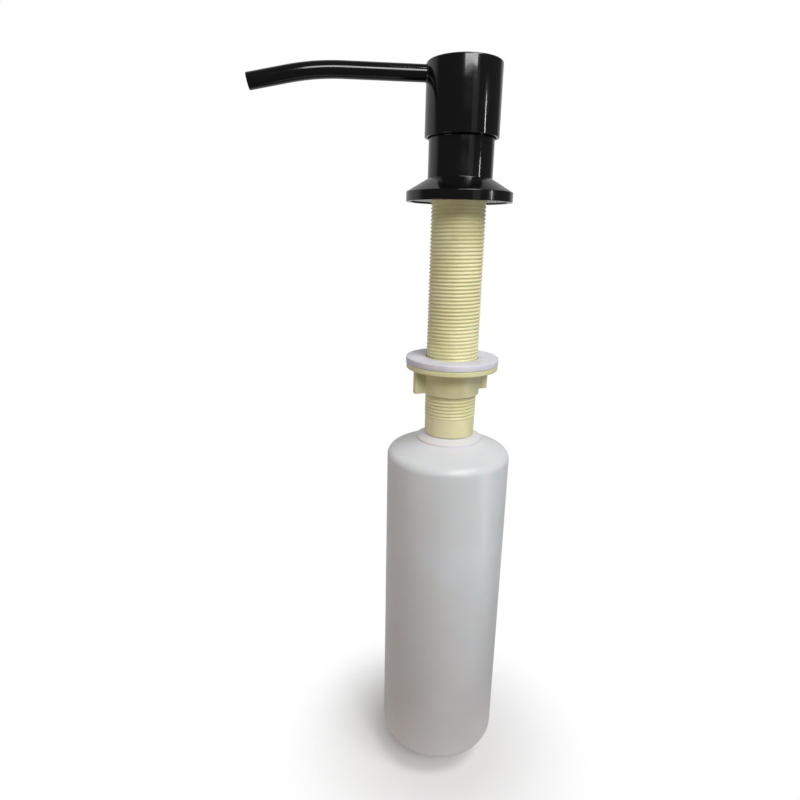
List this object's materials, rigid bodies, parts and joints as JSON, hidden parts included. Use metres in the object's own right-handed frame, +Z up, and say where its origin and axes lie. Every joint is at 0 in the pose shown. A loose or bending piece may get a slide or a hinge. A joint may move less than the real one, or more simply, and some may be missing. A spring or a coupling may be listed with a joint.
{
  "type": "soap pump dispenser",
  "caption": "Deck-mounted soap dispenser: press-down pump head with bent spout, flanged collar, threaded shank with wing nut and washer, and a screw-on bottle below.",
  "frame": {"origin": "centre of the collar's underside, on the dispenser's axis, at the level of the counter top", "axes": "+Z up along the pump's axis, -X along the spout at rest"},
  "size_m": [0.1282, 0.0642, 0.3585],
  "materials": {
    "black_finish": "gloss black coating",
    "cream_plastic": "satin moulded cream plastic",
    "washer_white": "soft white plastic",
    "white_seal": "matt white soft plastic",
    "grey_rubber": "matt",
    "bottle_plastic": "satin translucent blown plastic",
    "pump_plastic": "moulded white plastic",
    "clear_plastic": "natural translucent plastic",
    "spring_steel": "drawn stainless wire",
    "ball_steel": "polished stainless"
  },
  "bodies": {
    "mount": {"collar": "black_finish", "flange_gasket": "white_seal", "shank": "cream_plastic"},
    "pump_body": {"pump_cap": "pump_plastic", "pump_gasket": "grey_rubber", "pump_barrel": "clear_plastic", "ball_cage": "pump_plastic", "return_spring": "spring_steel", "dip_tube": "clear_plastic"},
    "plunger": {"pump_stem": "pump_plastic", "piston": "pump_plastic", "piston_seal": "white_seal"},
    "head": {"pump_head": "black_finish", "spout_tube": "black_finish", "spout_hose": "pump_plastic", "head_core": "pump_plastic"},
    "inlet_valve": {"inlet_ball": "ball_steel"},
    "outlet_valve": {"outlet_ball": "ball_steel"},
    "washer": {"nut_washer": "washer_white"},
    "nut": {"lock_nut": "cream_plastic"},
    "seal": {"bottle_seal": "grey_rubber"},
    "bottle": {"bottle": "bottle_plastic"}
  },
  "joints": [
    {"name": "pump_lift", "type": "slide", "parent": "mount", "child": "pump_body", "axis": [0, 0, 1], "range_m": [0, 0.3]},
    {"name": "press", "type": "slide", "parent": "pump_body", "child": "plunger", "axis": [0, 0, 1], "range_m": [-0.013, 0], "stiffness_N_per_m": 400, "springref_m": 0.006, "deforming": ["return_spring"]},
    {"name": "swivel", "type": "hinge", "parent": "plunger", "child": "head", "pos_m": [0, 0, 0.045], "axis": [0, 0, 1], "continuous": true},
    {"name": "inlet_ball_lift", "type": "slide", "parent": "pump_body", "child": "inlet_valve", "axis": [0, 0, 1], "range_m": [0, 0.003]},
    {"name": "outlet_ball_lift", "type": "slide", "parent": "plunger", "child": "outlet_valve", "axis": [0, 0, 1], "range_m": [0, 0.003]},
    {"name": "nut_travel", "type": "slide", "parent": "mount", "child": "washer", "axis": [0, 0, 1], "range_m": [-0.0115, 0.0736]},
    {"name": "nut_turn", "type": "hinge", "parent": "washer", "child": "nut", "pos_m": [0, 0, -0.085], "axis": [0, 0, 1], "range_deg": [-2340, 15120]},
    {"name": "bottle_travel", "type": "slide", "parent": "mount", "child": "seal", "axis": [0, 0, 1], "range_m": [-0.0151, 0]},
    {"name": "bottle_turn", "type": "hinge", "parent": "seal", "child": "bottle", "pos_m": [0, 0, -0.105], "axis": [0, 0, 1], "range_deg": [-1687.5, 0]}
  ],
  "couplings": [
    {"joint": "nut_travel", "follows": "nut_turn", "m_per_rad": 0.00027852},
    {"joint": "bottle_travel", "follows": "bottle_turn", "m_per_rad": 0.0005093}
  ]
}
